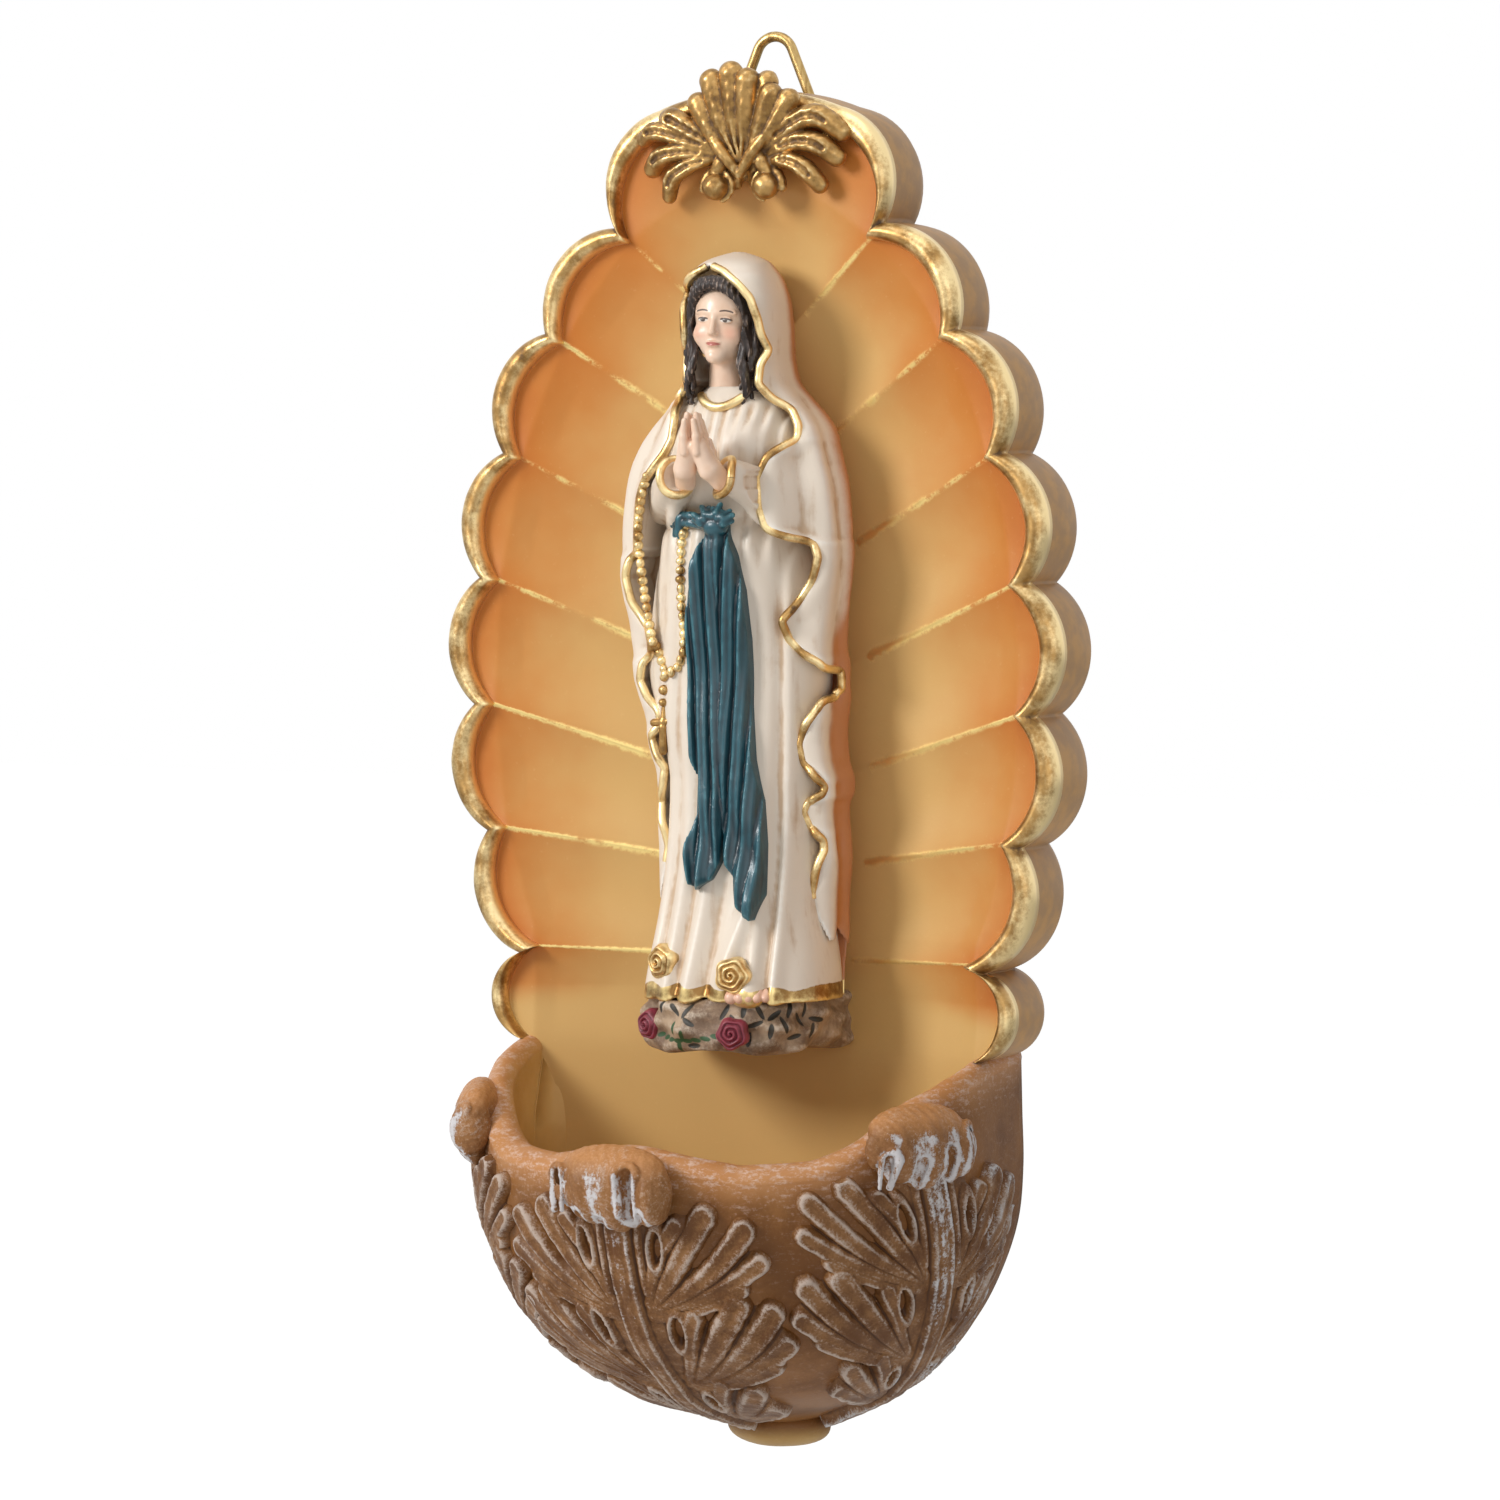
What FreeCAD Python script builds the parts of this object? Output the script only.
"""Holy water stoup to hang on a wall: a fluted niche with a praying figure, above a half-round basin.

A FreeCAD macro, in millimetres. X is to the right of someone facing the stoup, the wall is the plane Y = 0, the
front looks along -Y, and Z is up. The origin is on the back face, on the centre line, at the height where the
niche meets the basin's side lips. "Depth" means the distance in front of the wall, so depth 12 is Y = -12.
"""
import FreeCAD, Part
import math
import os
import re

doc = FreeCAD.newDocument("holy_water_stoup")

# ---------------------------------------------------------------- driving dimensions
SIZES = {
    # niche: an egg-shaped dish edged with round lobes
    "egg_centre_height": 52.0,
    "egg_half_width": 42.4,
    "egg_rise": 73.0,
    "egg_drop": 67.0,
    "lobe_pitch": 18.3,
    "lobe_bulge": 4.5,
    "lobes_per_side": 7,
    "top_lobe_half_width": 19.3,
    "top_lobe_height": 135.6,
    "foot_half_width": 36.4,
    "plate_edge_depth": 11.0,
    "niche_floor_depth": 3.5,
    "niche_edge_rise": 7.0,
    "flute_scoop": 1.7,
    "flute_foot_fade": 9.0,
    "tongue_half_width": 34.0,
    "tongue_drop": 30.0,
    # gilt rim laid on the edge of the niche
    "rim_width": 2.9,
    "rim_thickness": 1.6,
    # crest: a palmette between two fronds, over two volutes
    "crest_foot_height": 124.5,
    "crest_depth": 13.0,
    "petal_length": 17.6,
    "petal_half_width": 1.9,
    "frond_length": 12.2,
    "frond_half_width": 1.5,
    "volute_radius": 2.6,
    # basin: a half-round bowl that tapers to a knob at the wall
    "finial_radius": 8.0,
    "finial_half_height": 3.4,
    "finial_depth": 0.0,
    "finial_height": -56.0,
    "leaf_relief": 2.2,
    "front_leaf_turn": -2.0,
    "side_leaf_turn": 64.5,
    "side_leaf_rise": 4.9,
    "side_leaf_tilt": 13.0,
    "front_curl_reach": 39.0,
    "side_curl_reach": 40.5,
    "curl_height": -13.6,
    "curl_half_width": 9.0,
    "curl_radius": 4.6,
    # figure
    "ledge_half_width": 13.6,
    "ledge_centre_depth": 15.0,
    "ledge_foot_height": 0.6,
    "ledge_thickness": 8.1,
    "head_half_width": 4.1,
    "head_half_height": 6.0,
    "head_half_depth": 5.0,
    "head_height": 105.2,
    "head_depth": 17.2,
    "neck_radius": 2.5,
    "hair_margin": 0.9,
    "sleeve_wrist_radius": 2.5,
    "sleeve_elbow_radius": 4.4,
    "hand_length": 11.2,
    "hand_half_width": 1.15,
    "sash_thickness": 1.0,
    "sash_height": 77.0,
    "bead_radius": 0.62,
    "rose_radius": 2.3,
    # hanger
    "wire_radius": 0.75,
    "pivot_height": 126.0,
    "pivot_depth": 2.5,
    "ring_rise": 20.85,
    "apex_half_angle": 22.6,
    "apex_radius": 3.0,
    "pocket_depth": 4.0,
    "pocket_half_width": 14.5,
    "pocket_floor_height": 110.0,
    "strap_width": 8.0,
    "strap_thickness": 0.6,
    "strap_play": 0.15,
    "strap_foot_height": 111.5,
    "strap_back_foot_height": 121.0,
    "screw_height": 115.0,
    "screw_radius": 0.9,
    "screw_length": 2.6,
    "screw_head_radius": 2.1,
    "screw_head_height": 0.9,
}

# level sections of the figure, from the bottom up: height, half width, back depth and front depth
SECTION_PARTS = ("height", "half_width", "back", "front")
SECTIONS = {
    "gown": (
        (8.7, 13.4, 3.0, 27.2),
        (12.0, 13.2, 3.0, 26.4),
        (20.0, 12.4, 3.0, 24.6),
        (32.0, 12.0, 3.0, 23.4),
        (50.0, 12.0, 3.0, 22.6),
        (66.0, 12.0, 3.0, 22.2),
        (77.0, 10.8, 3.0, 21.6),
        (84.0, 11.2, 3.5, 22.2),
        (90.0, 10.2, 4.5, 21.4),
        (94.0, 8.2, 6.0, 19.6),
        (97.5, 4.4, 9.0, 17.6),
    ),
    "mantle": (
        (8.7, 14.2, 2.0, 24.0),
        (20.0, 13.8, 2.0, 21.8),
        (40.0, 14.6, 2.0, 21.2),
        (60.0, 16.0, 2.0, 21.6),
        (78.0, 17.0, 2.0, 22.6),
        (84.0, 16.4, 2.0, 22.2),
        (90.0, 14.0, 2.0, 21.2),
        (95.0, 10.2, 3.0, 19.4),
        (100.0, 8.0, 4.0, 19.2),
        (105.0, 7.4, 5.0, 19.6),
        (109.5, 6.8, 6.5, 19.8),
        (112.6, 5.2, 8.8, 18.6),
        (114.6, 2.6, 11.5, 16.0),
    ),
}

# level sections of the basin, from the bottom up: height, half width, depth of the straight side, front depth
BOWL_PARTS = ("height", "half_width", "side", "front")
BOWLS = {
    "bowl": (
        (-55.2, 6.0, 1.5, 7.0),
        (-53.5, 10.0, 2.5, 11.5),
        (-51.0, 15.8, 5.0, 20.0),
        (-48.5, 21.2, 6.8, 26.5),
        (-44.0, 27.2, 9.2, 33.2),
        (-38.0, 32.0, 10.8, 40.0),
        (-31.0, 35.6, 11.5, 44.2),
        (-24.0, 38.0, 12.0, 46.8),
        (-16.0, 38.9, 12.0, 47.8),
        (-8.0, 38.7, 12.0, 46.8),
        (4.0, 38.3, 12.0, 46.0),
    ),
    "well": (
        (-41.0, 12.0, 8.0, 18.0),
        (-38.0, 20.0, 10.0, 25.5),
        (-33.0, 27.0, 11.0, 32.5),
        (-26.0, 32.0, 12.0, 38.5),
        (-18.0, 34.8, 12.0, 41.8),
        (-10.0, 35.5, 12.0, 42.8),
        (20.0, 35.5, 12.0, 42.8),
    ),
}
for tables, parts in ((SECTIONS, SECTION_PARTS), (BOWLS, BOWL_PARTS)):
    for table, rows in tables.items():
        for number, row in enumerate(rows, start=1):
            SIZES.update({f"{table}_{number}_{part}": value for part, value in zip(parts, row)})

sheet = doc.addObject("Spreadsheet::Sheet", "Dimensions")
for row, (alias, value) in enumerate(SIZES.items(), start=1):
    sheet.set(f"A{row}", alias)
    sheet.set(f"B{row}", str(value))
    sheet.setAlias(f"B{row}", alias)
doc.recompute()


def size(alias):
    return float(sheet.get(alias))


def at(x, depth, z):
    return FreeCAD.Vector(x, -depth, z)


# ---------------------------------------------------------------- ways to make an object of the document
NODES = []
UP = FreeCAD.Vector(0, 0, 1)
UPRIGHT = FreeCAD.Rotation()
FACING_FRONT = FreeCAD.Rotation(UP, at(0, 1, 0))


def bound(kind, name, turn=UPRIGHT, base=None, **sizes):
    """An object whose properties follow the sheet. A double underscore in a property's name stands for a dot."""
    item = doc.addObject(kind, name)
    item.Label = name
    item.Placement = FreeCAD.Placement(base or at(0, 0, 0), turn)
    for prop, formula in sizes.items():
        cells = re.sub(r"[a-z]\w+", lambda word: "Dimensions." * (word[0] in SIZES) + word[0], str(formula))
        item.setExpression(prop.replace("__", "."), cells)
    return item


def computed(name, shape):
    """An object for a free form that no primitive or feature fits."""
    item = doc.addObject("Part::Feature", name)
    item.Label = name
    item.Shape = shape
    return item


def fused(name, pieces):
    item = doc.addObject("Part::MultiFuse", name)
    item.Label = name
    item.Shapes = pieces
    return item


def common(name, pieces):
    item = doc.addObject("Part::MultiCommon", name)
    item.Label = name
    item.Shapes = pieces
    return item


def cut(name, base, *tools):
    """The base without the tools, one cut after another; the last object takes the name."""
    for number, tool in enumerate(tools, start=1):
        item = doc.addObject("Part::Cut", name if number == len(tools) else f"{name}_less_{number}")
        item.Label = item.Name
        item.Base = base
        item.Tool = tool
        base = item
    return base


def finished(item):
    """Marks an object as a piece of the stoup, to be written to a file of its own."""
    NODES.append(item)
    return item


def ellipsoid(name, centre, half_x, half_depth, half_z, long_axis=UP):
    """An ellipsoid with its own Z axis turned to long_axis; the half sizes are formulas on the sheet."""
    turn = FreeCAD.Rotation(UP, long_axis)
    return bound("Part::Ellipsoid", name, turn, centre, Radius1=half_z, Radius2=half_x, Radius3=half_depth)


def rod(name, start, end, start_radius, end_radius):
    """A cone from start to end with a ball on each end; the radii are formulas on the sheet."""
    along = end.sub(start)
    turn = FreeCAD.Rotation(UP, along)
    if start_radius == end_radius:
        body = bound("Part::Cylinder", f"{name}_rod", turn, start, Radius=start_radius, Height=along.Length)
    else:
        sizes = {"Radius1": start_radius, "Radius2": end_radius, "Height": along.Length}
        body = bound("Part::Cone", f"{name}_rod", turn, start, **sizes)
    start_ball = bound("Part::Sphere", f"{name}_start", base=start, Radius=start_radius)
    end_ball = bound("Part::Sphere", f"{name}_end", base=end, Radius=end_radius)
    return fused(name, [body, start_ball, end_ball])


def section_loft(name, table, outset="0"):
    """Straight-sided stretches through a table of level ellipses, each grown by outset."""
    rings = []
    for number in range(1, len(SECTIONS[table]) + 1):
        cell = f"{table}_{number}"
        sizes = {
            "MajorRadius": f"{cell}_half_width + {outset}",
            "MinorRadius": f"({cell}_front - {cell}_back) / 2 + {outset}",
            "Placement__Base__y": f"-({cell}_front + {cell}_back) / 2",
            "Placement__Base__z": f"{cell}_height",
        }
        rings.append(bound("Part::Ellipse", f"{name}_ring_{number}", **sizes))
    loft = bound("Part::Loft", name)
    loft.Sections = rings
    loft.Solid = True
    loft.Ruled = True
    return loft


def on_surface(table, x, height, outset=0.0):
    """The point on the front of a sectioned form at x and height, moved forward by outset."""
    rows = SECTIONS[table]
    for low, high in zip(rows, rows[1:]):
        if low[0] <= height <= high[0]:
            share = (height - low[0]) / (high[0] - low[0])
            half_width, back, front = (a + (b - a) * share for a, b in zip(low[1:], high[1:]))
    round_off = math.sqrt(max(0.0, 1 - (x / half_width) ** 2))
    return at(x, (back + front) / 2 + (front - back) / 2 * round_off + outset, height)


# ---------------------------------------------------------------- outline of the niche
def egg_reach(z):
    return size("egg_rise") if z > size("egg_centre_height") else size("egg_drop")


def egg_point(angle):
    """x and height of a point of the egg, by its angle from the top."""
    centre = size("egg_centre_height")
    z = centre + egg_reach(centre + math.cos(angle)) * math.cos(angle)
    return size("egg_half_width") * math.sin(angle), z


def egg_cusps():
    """The points between lobes on the right side, from the top down, one lobe pitch apart."""
    angle = math.asin(size("top_lobe_half_width") / size("egg_half_width"))
    cusps = [egg_point(angle)]
    while len(cusps) < size("lobes_per_side"):
        angle += 0.001
        point = egg_point(angle)
        if math.dist(point, cusps[-1]) >= size("lobe_pitch"):
            cusps.append(point)
    return cusps


CUSPS = egg_cusps()


def outset_from_egg(point, outset):
    x, z = point
    rise = z - size("egg_centre_height")
    normal = FreeCAD.Vector(x / size("egg_half_width") ** 2, 0, rise / egg_reach(z) ** 2).normalize()
    return x + outset * normal.x, z + outset * normal.z


def foot_x(outset):
    return size("foot_half_width") + 0.4 * outset


def outline_arcs(outset):
    """Arcs (start, middle, end) of the right side, from the crown of the top lobe down to the basin."""
    notches = [outset_from_egg(cusp, outset) for cusp in CUSPS] + [(foot_x(outset), 0.0)]
    bulge = size("lobe_bulge") + 0.15 * outset
    crown = (0.0, size("top_lobe_height") + outset)
    shoulder = (12.6 + 0.6 * outset, size("top_lobe_height") - 2.2 + 0.9 * outset)
    flank = (size("top_lobe_half_width") + 0.5 + outset, size("top_lobe_height") - 8.0)
    arcs = [(crown, (shoulder[0] / 2, crown[1] - 0.5), shoulder), (shoulder, flank, notches[0])]
    for upper, lower in zip(notches, notches[1:]):
        run_x, run_z = lower[0] - upper[0], lower[1] - upper[1]
        length = math.hypot(run_x, run_z)
        middle_x = (upper[0] + lower[0]) / 2 - run_z / length * bulge
        middle_z = (upper[1] + lower[1]) / 2 + run_x / length * bulge
        arcs.append((upper, (middle_x, middle_z), lower))
    return arcs


def outline_edges(outset, depth):
    """Edges of the lobed outline at a depth, from the left foot over the crown to the right foot."""
    right = [[at(x, depth, z) for x, z in arc] for arc in outline_arcs(outset)]
    left = [[at(-x, depth, z) for x, z in reversed(arc)] for arc in reversed(outline_arcs(outset))]
    return [Part.Arc(*arc).toShape() for arc in left + right]


def line_edges(points):
    return [Part.LineSegment(a, b).toShape() for a, b in zip(points, points[1:])]


def niche_outline(outset, drop):
    """The lobed outline on the wall plane, closed by a tongue that reaches drop below the origin."""
    half, corner, neck = size("tongue_half_width"), 12.0, -1.5
    right = [(foot_x(outset), 0), (half, neck), (half, corner - drop), (half - corner, -drop)]
    path = [at(x, 0, z) for x, z in right] + [at(-x, 0, z) for x, z in reversed(right)]
    return Part.Face(Part.Wire(outline_edges(outset, 0) + line_edges(path)))


# ---------------------------------------------------------------- fluted dish of the niche
RIDGE_HUBS = (100.0, 82.0, 66.0, 50.5, 36.0, 25.0, 12.5)


def egg_share(x, z):
    """0 on the spine of the niche and 1 at the cusps of its edge; below the cusps it stays as at the last one."""
    rise = z - size("egg_centre_height")
    if rise > 0:
        return math.hypot(x / size("egg_half_width"), rise / size("egg_rise"))
    drop = min(-rise / size("egg_drop"), 0.53)
    return abs(x) / (size("egg_half_width") * math.sqrt(1 - drop**2))


def flute_share(x, z):
    """0 on a ridge between two flutes, and 1 in the middle of a flute."""
    ridges = [hub + (cusp[1] - hub) * abs(x) / cusp[0] for hub, cusp in zip(RIDGE_HUBS, CUSPS)]
    if z >= ridges[0]:
        spread = math.atan2(CUSPS[0][0], CUSPS[0][1] - RIDGE_HUBS[0])
        across = math.atan2(abs(x), max(z - RIDGE_HUBS[0], 0.01)) / spread
        return 1 - min(across, 1.0) ** 2
    for upper, lower in zip(ridges, ridges[1:]):
        if z >= lower:
            return 1 - (2 * (z - lower) / (upper - lower) - 1) ** 2
    across = min((ridges[-1] - z) / size("lobe_pitch"), 1.0)
    return 1 - (2 * across - 1) ** 2


def niche_depth(x, z):
    """Depth of the niche's floor: a dish with a shallow scoop along each flute."""
    share = min(egg_share(x, z), 1.12)
    dish = size("niche_floor_depth") + size("niche_edge_rise") * min(share, 1.0) ** 2.1
    fade = min(max((share - 0.22) / 0.5, 0.0), 1.0) * (1.0 - 5.4 * max(share - 0.92, 0.0))
    fade *= min(max((z + 1.0) / size("flute_foot_fade"), 0.0), 1.0)
    return dish - size("flute_scoop") * fade * (flute_share(x, z) - 0.3)


def front_of_niche():
    """Everything in front of the niche's floor, as one solid."""
    step, reach_x, low_z, high_z = 3.0, 51.0, -45.0, 147.0
    grid = []
    for i in range(int(2 * reach_x / step) + 1):
        x = -reach_x + i * step
        heights = [low_z + j * step for j in range(int((high_z - low_z) / step) + 1)]
        grid.append([at(x, niche_depth(x, z), z) for z in heights])
    floor = Part.BSplineSurface()
    floor.interpolate(grid)
    return floor.toShape().extrude(at(0, 70, 0))


def extruded(name, face, depth):
    """A flat face pushed forward from the wall; depth is a formula on the sheet."""
    item = bound("Part::Extrusion", name, LengthFwd=depth)
    item.Base = computed(f"{name}_face", face)
    item.DirMode = "Custom"
    item.Dir = at(0, 1, 0)
    item.Solid = True
    return item


front_space = computed("front_of_niche", front_of_niche())
plate = extruded("plate", niche_outline(size("rim_width"), size("tongue_drop")), "plate_edge_depth")
mouth = extruded("niche_mouth", niche_outline(0.0, size("tongue_drop") + 20), "plate_edge_depth * 3")
hollow = common("niche_hollow", [mouth, front_space])
pocket = bound(
    "Part::Box",
    "hanger_pocket",
    Length="2 * pocket_half_width",
    Width="pocket_depth",
    Height="egg_rise",
    Placement__Base__x="-pocket_half_width",
    Placement__Base__y="-pocket_depth",
    Placement__Base__z="pocket_floor_height",
)
screw_hole = bound(
    "Part::Cylinder",
    "screw_hole",
    FACING_FRONT,
    Radius="screw_radius",
    Height="screw_length",
    Placement__Base__y="-pocket_depth",
    Placement__Base__z="screw_height",
)
niche = finished(cut("niche_shell", plate, hollow, pocket, screw_hole))


# ---------------------------------------------------------------- gilt rim on the edge of the niche
def rim_face():
    """The strip between the outer and the inner outline, closed at both feet, at the depth of the edge."""
    depth = size("plate_edge_depth")
    edges = outline_edges(size("rim_width"), depth) + outline_edges(0.0, depth)
    for side in (-1, 1):
        edges += line_edges([at(side * foot_x(size("rim_width")), depth, 0), at(side * foot_x(0), depth, 0)])
    return Part.Face(Part.Wire(Part.__sortEdges__(edges)))


rim = finished(extruded("gilt_rim", rim_face(), "rim_thickness"))


# ---------------------------------------------------------------- crest on the top lobe
def crest_form():
    """Seven petals in a fan, three frond leaves a side and two volute balls, rooted in a small boss."""
    foot = at(0, size("crest_depth"), size("crest_foot_height"))
    pieces = [bound("Part::Sphere", "crest_boss", base=foot + at(0, -2.4, 2.0), Radius="volute_radius + 1.6")]
    for number, tilt in enumerate((-54, -36, -18, 0, 18, 36, 54)):
        lean = math.radians(tilt)
        along = at(math.sin(lean), 0.06, math.cos(lean)) * (size("petal_length") * (1 - 0.0052 * abs(tilt)))
        pieces.append(rod(f"petal_{number}", foot, foot + along, "petal_half_width / 2", "petal_half_width"))
    for side, word in ((-1, "left"), (1, "right")):
        for number, tilt in enumerate((70, 90, 112)):
            lean = math.radians(tilt)
            root = foot + at(side * 2.0, 0, 3.4)
            along = at(side * math.sin(lean), 0.0, math.cos(lean)) * size("frond_length")
            pieces.append(rod(f"frond_{word}_{number}", root, root + along, "frond_half_width * 0.6", "frond_half_width"))
        ball = foot + at(side * 4.1, 0.6, 0.6)
        pieces.append(bound("Part::Sphere", f"volute_{word}", base=ball, Radius="volute_radius"))
    return fused("crest_form", pieces)


finished(cut("crest", crest_form(), niche, rim))


# ---------------------------------------------------------------- basin
def bowl_wire(height, half_width, side, front, outset):
    """A level D: straight sides out from the wall and half an ellipse in front."""
    half_width, front = half_width + outset, front + outset
    angles = [math.pi * step / 12 for step in range(13)]
    points = [at(half_width * math.cos(a), side + (front - side) * math.sin(a), height) for a in angles]
    nose = Part.BSplineCurve()
    nose.interpolate(Points=points, InitialTangent=at(0, 1, 0), FinalTangent=at(0, -1, 0), Scale=True)
    straight = [points[-1], at(-half_width, 0, height), at(half_width, 0, height), points[0]]
    return Part.Wire([nose.toShape()] + line_edges(straight))


def bowl_loft(table, outset=0.0):
    rows = [[size(f"{table}_{n}_{part}") for part in BOWL_PARTS] for n in range(1, len(BOWLS[table]) + 1)]
    return Part.makeLoft([bowl_wire(*row, outset) for row in rows], True, False)


def above_the_lip():
    """The space above the basin's lip, which is level along the wall side and dips towards the front."""
    reach = 60.0
    dip = ((0, 1.8), (12, 0.0), (20, -2.0), (27.5, -5.5), (34, -9.6), (39, -12.2), (45, -13.0), (reach, -13.0))
    curve = Part.BSplineCurve()
    curve.interpolate([at(-reach, depth, z) for depth, z in dip])
    lid = [at(-reach, reach, -13.0), at(-reach, reach, 40), at(-reach, 0, 40), at(-reach, 0, 1.8)]
    return Part.Face(Part.Wire([curve.toShape()] + line_edges(lid))).extrude(at(2 * reach, 0, 0))


bowl = computed("bowl_form", bowl_loft("bowl"))
lip_space = computed("above_the_lip", above_the_lip())
well = common("well", [computed("well_form", bowl_loft("well")), front_space])
basin = finished(cut("basin", bowl, well, lip_space, niche, rim))

half_height, half_round = size("finial_half_height"), size("finial_radius")
cap_radius = (half_height**2 + half_round**2) / (2 * half_height)
caps = []
for side, word in ((-1, "lower"), (1, "upper")):
    centre = at(0, size("finial_depth"), size("finial_height") - side * (cap_radius - half_height))
    caps.append(bound("Part::Sphere", f"finial_{word}_cap", base=centre, Radius=cap_radius))
before_wall = bound(
    "Part::Box",
    "before_wall",
    Length="4 * finial_radius",
    Width="4 * finial_radius",
    Height="4 * finial_radius",
    Placement__Base__x="-2 * finial_radius",
    Placement__Base__y="-4 * finial_radius",
    Placement__Base__z="finial_height - 2 * finial_radius",
)
finial_form = common("finial_form", [*caps, before_wall])

# ---------------------------------------------------------------- acanthus leaves on the basin
LEAF_LOBES = (
    # across, height, tilt outward from upright, half length, half width
    (6.4, -27.1, 26.4, 7.7, 2.2),
    (8.1, -26.3, 37.6, 9.1, 2.2),
    (10.8, -27.0, 53.7, 10.2, 2.2),
    (11.2, -28.9, 67.5, 9.4, 2.1),
    (6.0, -38.9, 28.0, 6.4, 2.1),
    (9.5, -37.5, 45.9, 9.3, 2.2),
    (11.9, -37.8, 57.7, 10.7, 2.2),
    (12.4, -39.8, 71.6, 10.1, 2.0),
    (5.5, -49.0, 52.7, 5.0, 2.0),
)
LEAF_STEM = ((4.6, -12.5), (4.0, -26), (3.8, -38), (3.2, -47), (1.4, -56))
LEAF_BACK = 14


def leaf_prism():
    """The outline of one leaf, a stem with lobed sides, pushed forward through the front of the basin."""
    stem = [at(x, LEAF_BACK, z) for x, z in LEAF_STEM] + [at(-x, LEAF_BACK, z) for x, z in reversed(LEAF_STEM)]
    faces = [Part.Face(Part.makePolygon(stem + stem[:1]))]
    for across, height, tilt, half_length, half_width in LEAF_LOBES:
        for side in (-1, 1):
            lean = math.radians(tilt)
            centre = at(side * across, LEAF_BACK, height)
            tip = centre + at(side * math.sin(lean), 0, math.cos(lean)) * half_length
            edge = centre + at(side * math.cos(lean), 0, -math.sin(lean)) * half_width
            faces.append(Part.Face(Part.Wire(Part.Ellipse(tip, edge, centre).toShape())))
    prisms = [face.extrude(at(0, 50, 0)) for face in faces]
    return prisms[0].multiFuse(prisms[1:])


leaf_skin = bowl_loft("bowl", size("leaf_relief"))
leaf_outline = leaf_prism()
basin_axis = at(0, 12, 0)
LEAVES = (
    # name, turn round the basin, rise, tilt outward at the foot, reach of the curl
    ("leaf_front", size("front_leaf_turn"), 0.0, 0.0, size("front_curl_reach")),
    ("leaf_left", -size("side_leaf_turn"), size("side_leaf_rise"), -size("side_leaf_tilt"), size("side_curl_reach")),
    ("leaf_right", size("side_leaf_turn"), size("side_leaf_rise"), size("side_leaf_tilt"), size("side_curl_reach")),
)
leaves = []
for name, turn, rise, tilt, reach in LEAVES:
    prism = leaf_outline.copy()
    prism.rotate(at(0, 0, size("curl_height")), at(0, -1, 0), -tilt)
    prism.translate(at(0, 0, rise))
    prism.rotate(basin_axis, UP, turn)
    blade = computed(f"{name}_blade", leaf_skin.common(prism))
    outward = FreeCAD.Rotation(UP, turn)
    half_length = size("curl_half_width") - size("curl_radius")
    curl_ends = [
        basin_axis + outward.multVec(at(side * half_length, reach, size("curl_height") + rise)) for side in (-1, 1)
    ]
    curl = rod(f"{name}_curl", *curl_ends, "curl_radius", "curl_radius")
    whole = fused(f"{name}_form", [blade, curl])
    leaves.append(finished(cut(name, whole, bowl, *leaves)))

finished(cut("finial", finial_form, basin, *leaves))

# ---------------------------------------------------------------- rock ledge under the figure
ledge_round = bound(
    "Part::Cylinder",
    "ledge_round",
    Radius="ledge_half_width",
    Height="ledge_thickness",
    Placement__Base__y="-ledge_centre_depth",
    Placement__Base__z="ledge_foot_height",
)
ledge_root = bound(
    "Part::Box",
    "ledge_root",
    Length="2 * ledge_half_width",
    Width="ledge_centre_depth",
    Height="ledge_thickness",
    Placement__Base__x="-ledge_half_width",
    Placement__Base__y="-ledge_centre_depth",
    Placement__Base__z="ledge_foot_height",
)
ledge = finished(common("rock_ledge", [fused("ledge_form", [ledge_round, ledge_root]), front_space]))

# ---------------------------------------------------------------- figure
head_centre = at(0, size("head_depth"), size("head_height"))
skull = ellipsoid("skull", head_centre, "head_half_width", "head_half_depth", "head_half_height")
neck = bound("Part::Cylinder", "neck", base=at(0, 14.6, 94.5), Radius="neck_radius", Height="head_half_height + 1")
head = finished(fused("head", [skull, neck]))

hair_form = ellipsoid(
    "hair_form",
    head_centre + at(0, -1.7, -0.6),
    "head_half_width + hair_margin",
    "head_half_depth + hair_margin / 2",
    "head_half_height + hair_margin",
)
hair = finished(cut("hair", hair_form, head))

gown_form = section_loft("gown_form", "gown")
sleeve_forms = []
for side, word in ((-1, "left"), (1, "right")):
    elbow, wrist = at(side * 12.6, 14.5, 77.5), at(1.0 + side * 4.6, 26.2, 82.4)
    sleeve_forms.append(rod(f"sleeve_{word}_form", elbow, wrist, "sleeve_elbow_radius", "sleeve_wrist_radius"))
sleeves = finished(fused("sleeves", sleeve_forms))
gown = finished(cut("gown", common("gown_front", [gown_form, front_space]), head, hair, sleeves))

mantle_form = common("mantle_front", [section_loft("mantle_form", "mantle"), front_space])
face_opening = ellipsoid("face_opening", at(0, 21.0, 103.6), 5.4, 6.4, 8.2)
FRONT_EDGE = ((10.5, 0), (10.0, 30), (11.0, 60), (9.6, 80), (6.0, 97.5))
front_edges = [at(x, 12, z) for x, z in FRONT_EDGE] + [at(-x, 12, z) for x, z in reversed(FRONT_EDGE)]
front_face = Part.Face(Part.makePolygon(front_edges + front_edges[:1]))
front_opening = computed("front_opening", front_face.extrude(at(0, 30, 0)))
mantle = finished(cut("mantle", mantle_form, front_opening, face_opening, gown_form, head, hair, sleeves))

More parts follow.
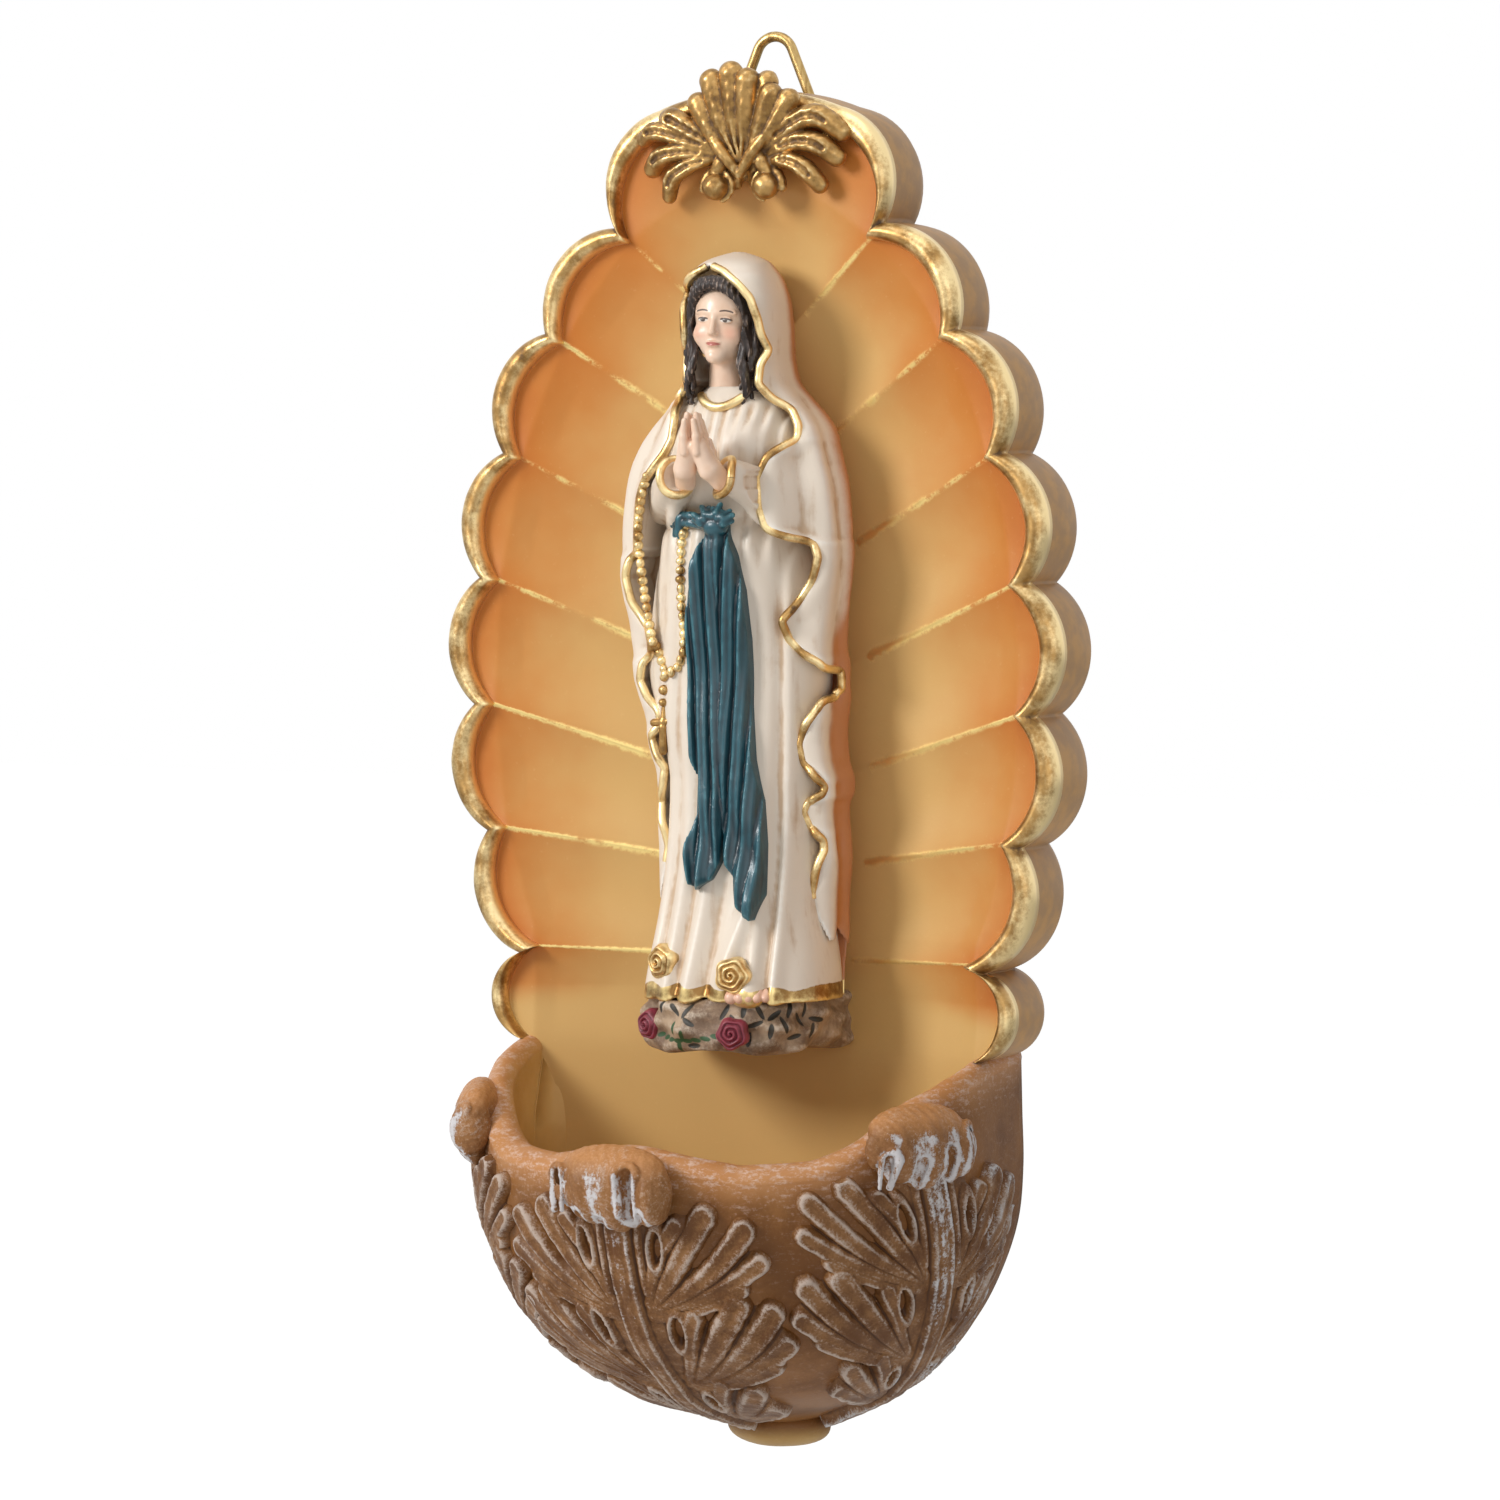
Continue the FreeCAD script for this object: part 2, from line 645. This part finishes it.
hand_forms = []
for side, word in ((-1, "left"), (1, "right")):
    heel, tip = at(1.0 + side * 1.5, 27.6, 83.4), at(1.0 + side * 0.9, 30.6, 93.2)
    hand_forms.append(
        ellipsoid(f"hand_{word}", (heel + tip) * 0.5, "hand_half_width", 2.2, "hand_length / 2", tip.sub(heel))
    )
finished(cut("praying_hands", fused("hand_forms", hand_forms), gown_form, sleeves))


# ---------------------------------------------------------------- sash
def flat_prism(points):
    flat = [at(x, 12, z) for x, z in points]
    return Part.Face(Part.makePolygon(flat + flat[:1])).extrude(at(0, 30, 0))


left_tail = ((-1.4, 77), (1.8, 77), (2.2, 50), (2.0, 25.5), (-1.0, 24), (-3.8, 26.5), (-3.2, 45), (-2.6, 60))
right_tail = ((1.8, 77), (4.4, 77), (6.0, 57), (8.0, 42), (9.8, 25), (8.0, 19), (5.0, 21.5), (2.6, 30), (2.2, 50))
belt = ((-8, 75.4), (8.5, 75.4), (8.5, 78.6), (-8, 78.6))
sash_outline = computed("sash_outline", flat_prism(left_tail).multiFuse([flat_prism(right_tail), flat_prism(belt)]))
sash_strips = common("sash_strips", [section_loft("sash_skin", "gown", "sash_thickness"), sash_outline])
knot = ellipsoid("sash_knot", at(1.2, 22.4, size("sash_height")), 3.0, 1.8, 2.2)
finished(cut("sash", fused("sash_form", [sash_strips, knot]), gown_form, sleeves))


# ---------------------------------------------------------------- rosary over the arm
def spaced(points, spacing):
    """Places at an even spacing along straight runs in x and height."""
    places = []
    along = 0.0
    for (x0, z0), (x1, z1) in zip(points, points[1:]):
        length = math.dist((x0, z0), (x1, z1))
        while along < length:
            share = along / length
            places.append((x0 + (x1 - x0) * share, z0 + (z1 - z0) * share))
            along += spacing
        along -= length
    return places


bead_pitch = 2.2
outer_strand = ((-7.8, 76), (-8.8, 68), (-8.6, 62), (-6.8, 57))
inner_strand = ((-4.2, 74), (-4.0, 66), (-4.6, 60), (-6.8, 57))
pendant = ((-6.8, 56), (-7.0, 50))
beads = []
for strand in (outer_strand, inner_strand, pendant):
    for x, z in spaced(strand, bead_pitch):
        spot = on_surface("gown", x, z, size("bead_radius") * 0.5)
        beads.append(bound("Part::Sphere", f"bead_{len(beads)}", base=spot, Radius="bead_radius"))
finished(fused("rosary_beads", beads))

cross_centre = on_surface("gown", -7.0, 46.6)
upright = computed("cross_upright", Part.makeBox(1.0, 1.6, 5.4, cross_centre + FreeCAD.Vector(-0.5, -0.8, -2.7)))
arms = computed("cross_arms", Part.makeBox(3.4, 1.6, 1.0, cross_centre + FreeCAD.Vector(-1.7, -0.8, 0.3)))
finished(fused("rosary_cross", [upright, arms]))


# ---------------------------------------------------------------- roses
def roses(name, places):
    """Flat round blooms, each pressed a little into what carries it."""
    blooms = []
    for number, place in enumerate(places):
        blooms.append(ellipsoid(f"{name}_{number}", place, "rose_radius", "rose_radius * 0.7", "rose_radius"))
    return finished(fused(name, blooms))


foot_roses = roses("foot_roses", [on_surface("gown", -6.4, 12.6, 0.6), on_surface("gown", 5.6, 11.6, 0.6)])
roses("ledge_roses", [at(-8.2, 26.0, 4.2), at(7.6, 26.6, 4.0)])

# ---------------------------------------------------------------- foot: toes that come out under the hem
TOES = (
    # x, depth and radius, from the big toe outwards
    (5.3, 26.9, 0.95),
    (6.7, 26.9, 0.8),
    (7.9, 26.6, 0.75),
    (9.0, 26.1, 0.7),
    (10.0, 25.4, 0.65),
)
ledge_top = size("ledge_foot_height") + size("ledge_thickness")
toes = []
for number, (x, depth, radius) in enumerate(TOES):
    root, tip = at(x - 0.4, depth - 2.6, ledge_top + 0.6), at(x, depth, ledge_top + 0.2)
    toes.append(rod(f"toe_{number}", root, tip, radius, radius))
finished(cut("foot", fused("foot_form", toes), gown_form, ledge, foot_roses))

# ---------------------------------------------------------------- hanger: ring, strap and screw
lean = math.radians(size("apex_half_angle"))
bend_height = size("pivot_height") + size("ring_rise") - size("apex_radius")
bend = at(0, size("pivot_depth"), bend_height)
ring_half_width = (bend_height + size("apex_radius") / math.sin(lean) - size("pivot_height")) * math.tan(lean)
bar_end = at(-ring_half_width, size("pivot_depth"), size("pivot_height"))
along_x = FreeCAD.Rotation(UP, at(1, 0, 0))
wires = [
    bound("Part::Cylinder", "ring_bar", along_x, bar_end, Radius="wire_radius", Height=2 * ring_half_width),
    bound(
        "Part::Torus",
        "ring_apex",
        FreeCAD.Rotation(at(1, 0, 0), 90).multiply(FreeCAD.Rotation(UP, size("apex_half_angle"))),
        bend,
        Radius1="apex_radius",
        Radius2="wire_radius",
        Angle3="180 - 2 * apex_half_angle",
    ),
]
for side, word in ((-1, "left"), (1, "right")):
    foot = at(side * ring_half_width, size("pivot_depth"), size("pivot_height"))
    shoulder = bend + at(side * math.cos(lean), 0, math.sin(lean)) * size("apex_radius")
    wires.append(rod(f"ring_leg_{word}", foot, shoulder, "wire_radius", "wire_radius"))
finished(fused("hanger_ring", wires))

strap_blank = doc.addObject("PartDesign::Body", "strap_blank")
profile = strap_blank.newObject("Sketcher::SketchObject", "strap_profile")
side_plane = [plane for plane in strap_blank.Origin.OriginFeatures if plane.Role == "YZ_Plane"][0]
profile.AttachmentSupport = [(side_plane, "")]
profile.MapMode = "FlatFace"
pivot = FreeCAD.Vector(-size("pivot_depth"), size("pivot_height"), 0)
inner = size("wire_radius") + size("strap_play")
outer = inner + size("strap_thickness")
legs = ((-1, size("strap_foot_height")), (1, size("strap_back_foot_height")))
for side, foot_height in legs:
    corners = [
        FreeCAD.Vector(pivot.x + side * radius, height, 0)
        for radius, height in ((inner, pivot.y), (inner, foot_height), (outer, foot_height), (outer, pivot.y))
    ]
    for start, end in zip(corners, corners[1:]):
        profile.addGeometry(Part.LineSegment(start, end))
for radius in (inner, outer):
    profile.addGeometry(Part.ArcOfCircle(Part.Circle(pivot, UP, radius), 0.0, math.pi))
bend_pad = strap_blank.newObject("PartDesign::Pad", "strap_pad")
bend_pad.Profile = profile
bend_pad.Midplane = True
bend_pad.setExpression("Length", "Dimensions.strap_width")
strap_hole = bound(
    "Part::Cylinder",
    "strap_hole",
    FACING_FRONT,
    Radius="screw_radius",
    Height="pocket_depth + 1",
    Placement__Base__z="screw_height",
)
finished(cut("hanger_strap", strap_blank, strap_hole))

screw_shank = bound(
    "Part::Cylinder",
    "screw_shank",
    FACING_FRONT,
    Radius="screw_radius",
    Height="screw_length + strap_thickness",
    Placement__Base__y="strap_thickness - pocket_depth",
    Placement__Base__z="screw_height",
)
screw_head = bound(
    "Part::Cylinder",
    "screw_head",
    FACING_FRONT,
    Radius="screw_head_radius",
    Height="screw_head_height",
    Placement__Base__y="strap_thickness + screw_head_height - pocket_depth",
    Placement__Base__z="screw_height",
)
finished(fused("hanger_screw", [screw_shank, screw_head]))

# ---------------------------------------------------------------- check and write
doc.recompute()
for item in doc.Objects:
    if {"Invalid", "Error"} & set(item.State):
        raise RuntimeError(f"{item.Label} failed: {item.State}")
for node in NODES:
    if node.Shape.isNull() or not node.Shape.isValid():
        raise RuntimeError(f"{node.Label} has no valid shape")
    print(f"{node.Label:16s} solids {len(node.Shape.Solids):3d}  volume {node.Shape.Volume:10.1f}")
os.makedirs("parts", exist_ok=True)
for node in NODES:
    node.Shape.exportStep(f"parts/{node.Label}.step")
